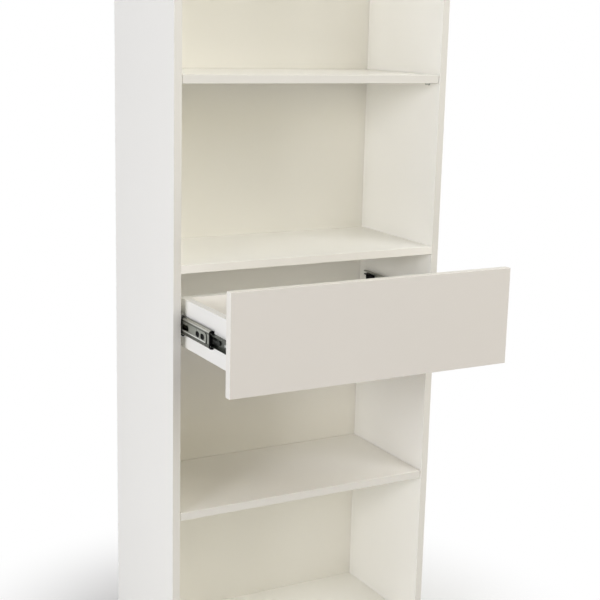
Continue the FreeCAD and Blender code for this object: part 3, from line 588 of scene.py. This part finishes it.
@functools.cache
def grey_moulding():
    return moulded("grey moulding", bpy.context.scene.fitting_finish.lever, shine=0.2)


@functools.cache
def white_moulding():
    return moulded("white moulding", bpy.context.scene.fitting_finish.white, shine=0.4)


@functools.cache
def soft_dot():
    return moulded("soft dot", bpy.context.scene.fitting_finish.dot, shine=0.5, roughness=0.35)


@functools.cache
def beech():
    """Turned beech."""
    finish = bpy.context.scene.fitting_finish
    material, tree, shader, coords = new_material("beech")
    feed(tree, clouded(tree, coords, finish.beech, scale=240.0, amount=0.5), shader["Base Color"])
    feed(tree, 0.6, shader["Roughness"])
    return material


def dress(nodes, material):
    """Give CAD nodes a material."""
    for name in nodes:
        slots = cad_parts[name].data.materials
        slots.clear()
        slots.append(material)


# Places in the frame

def on_both_sides(name):
    return [side + "_" + name for side in SIDES]


def low(node):
    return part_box(node)[0]


def high(node):
    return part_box(node)[1]


def middle(node):
    return (low(node) + high(node)) / 2


def look(place, direction):
    """The matrix that carries a piece from the origin to a place and turns its +Z along a direction."""
    return Matrix.Translation(place) @ Vector(direction).to_track_quat("Z", "Y").to_matrix().to_4x4()


# Modelling helpers

def select_only(*pieces):
    """Select these pieces and nothing else, because an operator acts on all that is selected."""
    bpy.ops.object.select_all(action="DESELECT")
    for piece in pieces:
        piece.select_set(True)
        bpy.context.view_layer.objects.active = piece


def apply_place(piece):
    """Put a piece's place, turn and scale into its mesh."""
    select_only(piece)
    bpy.ops.object.transform_apply(location=True, rotation=True, scale=True)


def carry(piece, place):
    """Carry a piece to a place, and put that into its mesh."""
    piece.matrix_world = place
    apply_place(piece)


def edit_ends(piece, sign):
    """Enter edit mode with the faces selected that look up or, for a sign of -1, down."""
    bpy.ops.object.mode_set(mode="EDIT")
    bpy.ops.mesh.select_mode(type="FACE")
    bpy.ops.mesh.select_all(action="DESELECT")
    for face in bmesh.from_edit_mesh(piece.data).faces:
        face.select_set(sign * face.normal.z > PICK_COSINE)
    bmesh.update_edit_mesh(piece.data)


def turned(radius, height, steps):
    """A turned piece that stands on the origin: a disc, then steps of a rise and a new radius."""
    select_only()
    bpy.ops.mesh.primitive_cylinder_add(vertices=ROUND_VERTICES, radius=radius, depth=height,
                                        location=(0, 0, height / 2))
    piece = bpy.context.active_object
    edit_ends(piece, 1)
    for rise, new_radius in steps:
        height += rise
        bpy.ops.mesh.extrude_region_move(TRANSFORM_OT_translate={"value": (0, 0, rise)})
        bpy.ops.transform.resize(value=(new_radius / radius, new_radius / radius, 1), center_override=(0, 0, height))
        radius = new_radius
    bpy.ops.object.mode_set(mode="OBJECT")
    apply_place(piece)
    return piece


def profiled(profile, radius, height):
    """A turned piece of this radius and height from a profile of shares."""
    first, *steps = profile
    return turned(radius, first * height, [(rise * height, share * radius) for rise, share in steps])


def block(lowest, highest):
    """A block between two corners."""
    select_only()
    bpy.ops.mesh.primitive_cube_add(size=1, location=(Vector(lowest) + Vector(highest)) / 2,
                                    scale=Vector(highest) - Vector(lowest))
    piece = bpy.context.active_object
    apply_place(piece)
    return piece


def apply_modifier(piece, kind, **settings):
    """Add a modifier to a piece and apply it."""
    modifier = piece.modifiers.new(kind.lower(), kind)
    for name, value in settings.items():
        setattr(modifier, name, value)
    select_only(piece)
    bpy.ops.object.modifier_apply(modifier=modifier.name)


def combine(piece, other, operation):
    """Join another piece to a piece, or cut it away, and remove the other one."""
    apply_modifier(piece, "BOOLEAN", operation=operation, object=other, solver="EXACT")
    bpy.data.objects.remove(other)


def soften(piece, width):
    """Round the sharp edges."""
    apply_modifier(piece, "BEVEL", width=width, segments=EDGE_SEGMENTS, limit_method="ANGLE",
                   angle_limit=SMOOTH_ANGLE)


def cut_cross(piece, radius, top, depth):
    """Cut the recess for a cross-point driver, narrower at its floor, into the top of a turned piece."""
    span, width = CROSS_SPAN * radius, CROSS_WIDTH * radius
    for x, y in ((span / 2, width / 2), (width / 2, span / 2)):
        blade = block((-x, -y, top - depth), (x, y, top + depth))
        edit_ends(blade, -1)
        bpy.ops.transform.resize(value=(CROSS_FLOOR, CROSS_FLOOR, 1), center_override=(0, 0, top - depth))
        bpy.ops.object.mode_set(mode="OBJECT")
        combine(piece, blade, "DIFFERENCE")


def spread(piece, places):
    """Copy a piece to each place and join the copies, each with its own mesh, into one piece."""
    copies = []
    for place in places:
        copy = piece.copy()
        copy.data = piece.data.copy()
        copy.matrix_world = place
        bpy.context.scene.collection.objects.link(copy)
        copies.append(copy)
    bpy.data.objects.remove(piece)
    select_only(*copies)
    bpy.ops.object.join()
    return bpy.context.active_object


def settle(piece, name, body, material):
    """Leave a finished piece at the origin with its place in its mesh, and give it its body and finish."""
    apply_place(piece)
    bpy.ops.object.shade_smooth_by_angle(angle=SMOOTH_ANGLE)
    piece.name = name
    piece.data.name = name
    piece.data.materials.clear()
    piece.data.materials.append(material)
    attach(piece, body)
    return piece


# Fittings that repeat

def cam_lock(size):
    """A cam lock: a rim, a sunk face and a cross recess."""
    radius, rise = size.cam_radius, size.cam_rise
    lock = profiled(CAM_PROFILE, radius, rise)
    cut_cross(lock, radius, CAM_FACE * rise, CAM_CROSS_DEPTH * rise)
    soften(lock, EDGES["cam"] * rise)
    return lock


def screw_head(radius, height):
    """A round screw head with a cross recess."""
    head = profiled(SCREW_PROFILE, radius, height)
    cut_cross(head, radius, height, SCREW_CROSS_DEPTH * height)
    soften(head, EDGES["screw"] * height)
    return head


def bearing_ball(radius):
    """A ball, rounded from a cube so that its faces are even."""
    select_only()
    bpy.ops.mesh.primitive_cube_add(size=radius)
    ball = bpy.context.active_object
    bpy.ops.object.mode_set(mode="EDIT")
    bpy.ops.mesh.select_all(action="SELECT")
    bpy.ops.mesh.subdivide(number_cuts=BALL_CUTS)
    bpy.ops.transform.tosphere(value=1.0)
    bpy.ops.object.mode_set(mode="OBJECT")
    ratio = radius / ball.data.vertices[0].co.length
    ball.scale = (ratio, ratio, ratio)
    apply_place(ball)
    return ball


# Operators

class BOOKCASE_OT_boards(bpy.types.Operator):
    """Face the boards and the thin panels, and give the dowels their wood"""

    bl_idname = "bookcase.boards"
    bl_label = "Boards"

    def execute(self, context):
        dress(CARCASS_BOARDS, carcass_board())
        dress(("fixed_shelf",), fixed_shelf_board())
        dress(DRAWER_BOARDS, drawer_box_board())
        dress(("drawer_front",), drawer_front_board())
        dress(("back_panel_upper", "back_panel_lower"), back_panel_board())
        dress(("drawer_bottom",), drawer_bottom_board())
        dress(("dowels", "drawer_dowels"), beech())
        return {"FINISHED"}


class BOOKCASE_OT_slides(bpy.types.Operator):
    """Plate the slides' rails and the wall brackets, and mould the slides' stops and cages"""

    bl_idname = "bookcase.slides"
    bl_label = "Slides"

    def execute(self, context):
        dress(on_both_sides("cabinet_rail"), zinc_plate())
        dress(on_both_sides("middle_rail"), rolled_zinc_painted_bands())
        dress(on_both_sides("drawer_rail"), dark_plate())
        for name in ("rear_catch", "rail_end_cap", "outer_cage", "inner_cage"):
            dress(on_both_sides(name), black_moulding())
        dress(("lever_rivets", "wall_brackets"), zinc_plate())
        return {"FINISHED"}


class BOOKCASE_OT_shelf_pins(bpy.types.Operator):
    """Turn the pins that carry the loose shelves"""

    bl_idname = "bookcase.shelf_pins"
    bl_label = "Shelf pins"

    def execute(self, context):
        size = context.scene.fitting_sizes
        collar = size.pin_collar_thickness
        steps = ((0, size.pin_collar), (collar, size.pin_collar), (0, size.pin_radius),
                 (size.pin_reach - collar, size.pin_radius))
        pin = turned(size.pin_radius, size.pin_reach, steps)
        soften(pin, EDGES["pin"] * collar)
        inside = high("left_side_panel").x
        rows = (low("left_side_panel").y + size.pin_setback, low("back_panel_upper").y - size.pin_setback)
        places = [look((side * (size.pin_reach - inside), y, low(shelf).z - size.pin_radius), (-side, 0, 0))
                  for shelf in LOOSE_SHELVES for y in rows for side in SIDES.values()]
        pins = settle(spread(pin, places), "round_shelf_pins", "carcass", zinc_plate())
        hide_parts("shelf_pins")
        return {"FINISHED"}


class BOOKCASE_OT_floor_glides(bpy.types.Operator):
    """Mould the glides under the side panels"""

    bl_idname = "bookcase.floor_glides"
    bl_label = "Floor glides"

    def execute(self, context):
        size = context.scene.fitting_sizes
        height = high("floor_glides").z
        glide = profiled(GLIDE_PROFILE, size.glide_radius, height)
        soften(glide, EDGES["glide"] * height)
        reach = high("left_side_panel").y - size.glide_setback
        places = [look((middle(panel).x, end * reach, height), (0, 0, -1))
                  for panel in on_both_sides("side_panel") for end in (-1, 1)]
        glides = settle(spread(glide, places), "round_floor_glides", "carcass", white_moulding())
        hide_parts("floor_glides")
        return {"FINISHED"}


class BOOKCASE_OT_cam_locks(bpy.types.Operator):
    """Set the cam locks that draw the boards together"""

    bl_idname = "bookcase.cam_locks"
    bl_label = "Cam locks"

    def execute(self, context):
        size = context.scene.fitting_sizes
        rows = (low("fixed_shelf").y + size.cam_edge, high("fixed_shelf").y - size.cam_edge)
        reach = high("fixed_shelf").x - size.cam_end
        faces = ((low("bottom_panel").z, -1), (low("fixed_shelf").z, -1), (high("top_panel").z, 1))
        places = [look((side * reach, y, z), (0, 0, up)) for z, up in faces for y in rows for side in SIDES.values()]
        settle(spread(cam_lock(size), places), "panel_cam_locks", "carcass", zinc_plate())
        places = []
        for side, sign in SIDES.items():
            board = "drawer_side_" + side
            inside = high(board).x if sign < 0 else low(board).x
            for z in (low(board).z + size.drawer_cam_edge, high(board).z - size.drawer_cam_edge):
                places.append(look((inside, low(board).y + size.drawer_cam_end, z), (-sign, 0, 0)))
        settle(spread(cam_lock(size), places), "drawer_cam_locks", "drawer", zinc_plate())
        return {"FINISHED"}


class BOOKCASE_OT_screws(bpy.types.Operator):
    """Drive the screws of the slides, the wall brackets and the thin panels"""

    bl_idname = "bookcase.screws"
    bl_label = "Screws"

    def rail_places(self, name, shares, web, outward):
        """Where the screws of a pair of rails stand on their webs. Outward is one where they face the panels."""
        places = []
        for rail, sign in zip(on_both_sides(name), SIDES.values()):
            span = high(rail).y - low(rail).y
            for share in shares:
                place = (sign * web, low(rail).y + share * span, middle(rail).z)
                places.append(look(place, (sign * outward, 0, 0)))
        return places

    def drive(self, name, body, radius, height, places):
        """Make screw heads of one size and set them at their places."""
        settle(spread(screw_head(radius, height), places), name, body, zinc_plate())

    def execute(self, context):
        size = context.scene.fitting_sizes
        web = high("right_cabinet_rail").x - size.rail_steel
        places = self.rail_places("cabinet_rail", CABINET_SCREW_SHARES, web, -1)
        self.drive("cabinet_rail_screws", "carcass", size.flat_screw, size.flat_screw_height, places)
        web = low("right_drawer_rail").x + size.rail_steel
        places = self.rail_places("drawer_rail", DRAWER_SCREW_SHARES, web, 1)
        self.drive("drawer_rail_screws", "drawer", size.round_screw, size.round_screw_height, places)
        reach = high("wall_brackets").x - size.bracket_half
        rear = high("wall_brackets").y - size.bracket_screw_setback
        foot = high("top_panel").z + size.bracket_steel
        places = [look((side * reach, rear, foot), (0, 0, 1)) for side in SIDES.values()]
        self.drive("bracket_screws", "carcass", size.bracket_screw, size.bracket_screw_height, places)
        columns = (-size.panel_screw_spacing, 0, size.panel_screw_spacing)
        seam = (low("back_panel_upper").z + high("back_panel_lower").z) / 2
        places = [look((x, high("back_panel_upper").y, seam + step * size.panel_screw_offset), (0, 1, 0))
                  for x in columns for step in (-1, 1)]
        self.drive("back_panel_screws", "carcass", size.panel_screw, size.panel_screw_height, places)
        places = [look((x, middle("drawer_back").y, low("drawer_bottom").z), (0, 0, -1)) for x in columns]
        self.drive("drawer_bottom_screws", "drawer", size.panel_screw, size.panel_screw_height, places)
        return {"FINISHED"}


class BOOKCASE_OT_rail_beads(bpy.types.Operator):
    """Raise the bead that stiffens each middle rail"""

    bl_idname = "bookcase.rail_beads"
    bl_label = "Rail beads"

    def execute(self, context):
        size = context.scene.fitting_sizes
        first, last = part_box("right_middle_rail")
        front, rear = first.y + size.bead_front, last.y - size.bead_rear
        half = (rear - front) / 2
        foot = BEAD_FOOT * size.bead_height
        bead = block((-half, -size.bead_width / 2, 0), (half, size.bead_width / 2, foot))
        edit_ends(bead, 1)
        bpy.ops.mesh.extrude_region_move(TRANSFORM_OT_translate={"value": (0, 0, size.bead_height - foot)})
        bpy.ops.transform.resize(value=(1, BEAD_CROWN, 1), center_override=(0, 0, size.bead_height))
        bpy.ops.object.mode_set(mode="OBJECT")
        soften(bead, EDGES["bead"] * size.bead_height)
        z = first.z + BEAD_SHARE * (last.z - first.z)
        places = [look((side * last.x, (front + rear) / 2, z), (side, 0, 0)) for side in SIDES.values()]
        settle(spread(bead, places), "middle_rail_beads", "middle_rails", bead_with_painted_highlight())
        return {"FINISHED"}


class BOOKCASE_OT_bearing_balls(bpy.types.Operator):
    """Round the balls that run in the cages"""

    bl_idname = "bookcase.bearing_balls"
    bl_label = "Bearing balls"

    def execute(self, context):
        radius = context.scene.fitting_sizes.ball_radius
        for ring in ("outer", "inner"):
            node = ring + "_balls"
            points = [vertex.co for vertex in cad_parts[node].data.vertices]
            x = sum(abs(point.x) for point in points) / len(points)
            centre = middle(node).z
            rise = sum(abs(point.z - centre) for point in points) / len(points)
            cage = "left_" + ring + "_cage"
            pitch = (high(cage).y - low(cage).y) / BALLS_IN_A_ROW
            rows = [low(cage).y + (step + 0.5) * pitch for step in range(BALLS_IN_A_ROW)]
            places = [Matrix.Translation((side * x, y, centre + up * rise))
                      for side in SIDES.values() for up in (-1, 1) for y in rows]
            balls = settle(spread(bearing_ball(radius), places), "smooth_" + node, ring + "_cages",
                           bearing_steel())
            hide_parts(node)
        return {"FINISHED"}


class BOOKCASE_OT_release_levers(bpy.types.Operator):
    """Mould the levers that free the drawer from its slides"""

    bl_idname = "bookcase.release_levers"
    bl_label = "Release levers"

    def execute(self, context):
        size = context.scene.fitting_sizes
        radius = size.grip_radius
        for side, sign in SIDES.items():
            node = side + "_release_lever"
            first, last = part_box(node)
            thickness = last.x - first.x
            inside = first.x if sign > 0 else last.x
            pivot = middle(side + "_drawer_rail").z
            bottom, top = pivot - size.lever_arm / 2, pivot + size.lever_arm / 2
            lever = profiled(GRIP_PROFILE, radius, thickness)
            carry(lever, look((inside, first.y + radius, pivot), (sign, 0, 0)))
            arm = block((first.x, first.y + ARM_START * radius, bottom), (last.x, last.y, top))
            hook = block((first.x, last.y - size.lever_hook, bottom), last)
            boss = profiled(BOSS_PROFILE, radius, thickness)
            carry(boss, look((inside, middle("lever_rivets").y, pivot), (sign, 0, 0)))
            for other in (arm, hook, boss):
                combine(lever, other, "UNION")
            soften(lever, EDGES["lever"] * thickness)
            settle(lever, side + "_lever_moulding", node, grey_moulding())
            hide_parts(node)
        return {"FINISHED"}


class BOOKCASE_OT_bumper_dots(bpy.types.Operator):
    """Dome the soft dots that the drawer front closes on"""

    bl_idname = "bookcase.bumper_dots"
    bl_label = "Bumper dots"

    def execute(self, context):
        radius = context.scene.fitting_sizes.dot_radius
        first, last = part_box("drawer_bumpers")
        dot = profiled(DOT_PROFILE, radius, last.y - first.y)
        places = [look((x, first.y, z), (0, 1, 0)) for x in (first.x + radius, last.x - radius)
                  for z in (first.z + radius, last.z - radius)]
        dots = settle(spread(dot, places), "domed_bumper_dots", "drawer", soft_dot())
        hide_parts("drawer_bumpers")
        return {"FINISHED"}


def shows_background(tree):
    """One for rays from the camera, from glossy surfaces and through glass, and nought for the rest."""
    path = place_node(tree, "ShaderNodeLightPath").outputs
    seen = math_node(tree, "MAXIMUM", path["Is Camera Ray"], path["Is Glossy Ray"])
    return math_node(tree, "MAXIMUM", seen, path["Is Transmission Ray"])


def floor_material(setup):
    """A pale floor that fades to white away from the bookcase."""
    material = bpy.data.materials.new("pale floor")
    tree = empty_tree(material)
    pale = place_node(tree, "ShaderNodeBsdfDiffuse")
    feed(tree, setup.floor, pale.inputs["Color"])
    white = place_node(tree, "ShaderNodeEmission")
    distance = place_node(tree, "ShaderNodeVectorMath", operation="LENGTH")
    feed(tree, place_node(tree, "ShaderNodeTexCoord").outputs["Object"], distance.inputs[0])
    fade = place_node(tree, "ShaderNodeMapRange", interpolation_type="SMOOTHSTEP")
    for name, value in (("Value", distance.outputs["Value"]), ("From Min", setup.floor_near),
                        ("From Max", setup.floor_far)):
        feed(tree, value, fade.inputs[name])
    mix = place_node(tree, "ShaderNodeMixShader")
    feed(tree, math_node(tree, "MULTIPLY", fade.outputs["Result"], shows_background(tree)), mix.inputs["Fac"])
    feed(tree, pale.outputs[0], mix.inputs[1])
    feed(tree, white.outputs[0], mix.inputs[2])
    output = place_node(tree, "ShaderNodeOutputMaterial")
    feed(tree, mix.outputs[0], output.inputs["Surface"])
    return material


def white_world():
    """A world that is white where it shows, and that sheds no light of its own."""
    world = bpy.data.worlds.new("studio")
    tree = empty_tree(world)
    white = place_node(tree, "ShaderNodeBackground")
    feed(tree, WHITE, white.inputs["Color"])
    feed(tree, shows_background(tree), white.inputs["Strength"])
    output = place_node(tree, "ShaderNodeOutputWorld")
    feed(tree, white.outputs[0], output.inputs["Surface"])
    return world


def add_lamp(name, around, up, width, tint, setup):
    """A square soft box that looks at the bookcase from an angle round it and an angle up."""
    data = bpy.data.lights.new(name + "_soft_box", "AREA")
    data.size = width
    data.energy = getattr(setup, name)
    data.color = getattr(setup, tint)
    lamp = bpy.data.objects.new(name + "_soft_box", data)
    bpy.context.scene.collection.objects.link(lamp)
    towards = Vector((-math.cos(up) * math.sin(around), -math.cos(up) * math.cos(around), math.sin(up)))
    turn = (-towards).to_track_quat("-Z", "Y").to_matrix().to_4x4()
    lamp.matrix_world = Matrix.Translation(LAMP_TARGET + setup.lamp_distance * towards) @ turn


class BOOKCASE_OT_stage(bpy.types.Operator):
    """Lay a pale floor and light the bookcase softly"""

    bl_idname = "bookcase.stage"
    bl_label = "Stage"

    def execute(self, context):
        setup = context.scene.stage_setup
        select_only()
        bpy.ops.mesh.primitive_plane_add(size=setup.floor_size, location=(0, 0, 0))
        floor = context.active_object
        floor.name = "floor"
        floor.data.materials.append(floor_material(setup))
        context.scene.world = white_world()
        for name, (around, up, width, tint) in LAMPS.items():
            add_lamp(name, math.radians(around), math.radians(up), width, tint, setup)
        context.scene.view_settings.view_transform = "Standard"
        return {"FINISHED"}


class BOOKCASE_OT_camera(bpy.types.Operator):
    """Stand the camera where the picture was taken"""

    bl_idname = "bookcase.camera"
    bl_label = "Camera"

    def execute(self, context):
        setup = context.scene.camera_setup
        data = bpy.data.cameras.new("picture_camera")
        data.sensor_width = setup.sensor
        data.lens = setup.lens
        camera = bpy.data.objects.new("picture_camera", data)
        context.scene.collection.objects.link(camera)
        turn = (Matrix.Rotation(-setup.yaw, 4, "Z") @ Matrix.Rotation(math.pi / 2 - setup.pitch, 4, "X")
                @ Matrix.Rotation(setup.roll, 4, "Z"))
        camera.matrix_world = Matrix.Translation(setup.place) @ turn
        context.scene.camera = camera
        return {"FINISHED"}


OPERATORS = (BOOKCASE_OT_boards, BOOKCASE_OT_slides, BOOKCASE_OT_shelf_pins, BOOKCASE_OT_floor_glides,
             BOOKCASE_OT_cam_locks, BOOKCASE_OT_screws, BOOKCASE_OT_rail_beads, BOOKCASE_OT_bearing_balls,
             BOOKCASE_OT_release_levers, BOOKCASE_OT_bumper_dots, BOOKCASE_OT_stage, BOOKCASE_OT_camera)
SETTINGS = {"board_finish": BoardFinish, "fitting_finish": FittingFinish, "fitting_sizes": FittingSizes,
            "stage_setup": StageSetup, "camera_setup": CameraSetup}


class BOOKCASE_PT_sidebar(bpy.types.Panel):
    """Lists the steps and the settings of the bookcase"""

    bl_idname = "BOOKCASE_PT_sidebar"
    bl_label = "Bookcase"
    bl_space_type = "VIEW_3D"
    bl_region_type = "UI"
    bl_category = "Bookcase"

    def draw(self, context):
        for operator in OPERATORS:
            self.layout.operator(operator.bl_idname)
        for name, group in SETTINGS.items():
            box = self.layout.box()
            settings = getattr(context.scene, name)
            for prop in group.__annotations__:
                box.prop(settings, prop)


CLASSES = (*SETTINGS.values(), *OPERATORS, BOOKCASE_PT_sidebar)


def register():
    for item in CLASSES:
        bpy.utils.register_class(item)
    for name, group in SETTINGS.items():
        setattr(bpy.types.Scene, name, PointerProperty(type=group))


def unregister():
    for name in SETTINGS:
        delattr(bpy.types.Scene, name)
    for item in reversed(CLASSES):
        bpy.utils.unregister_class(item)


def main():
    register()
    bpy.ops.bookcase.boards()
    bpy.ops.bookcase.slides()
    bpy.ops.bookcase.shelf_pins()
    bpy.ops.bookcase.floor_glides()
    bpy.ops.bookcase.cam_locks()
    bpy.ops.bookcase.screws()
    bpy.ops.bookcase.rail_beads()
    bpy.ops.bookcase.bearing_balls()
    bpy.ops.bookcase.release_levers()
    bpy.ops.bookcase.bumper_dots()
    bpy.ops.bookcase.stage()
    bpy.ops.bookcase.camera()


if __name__ == "__main__":
    main()
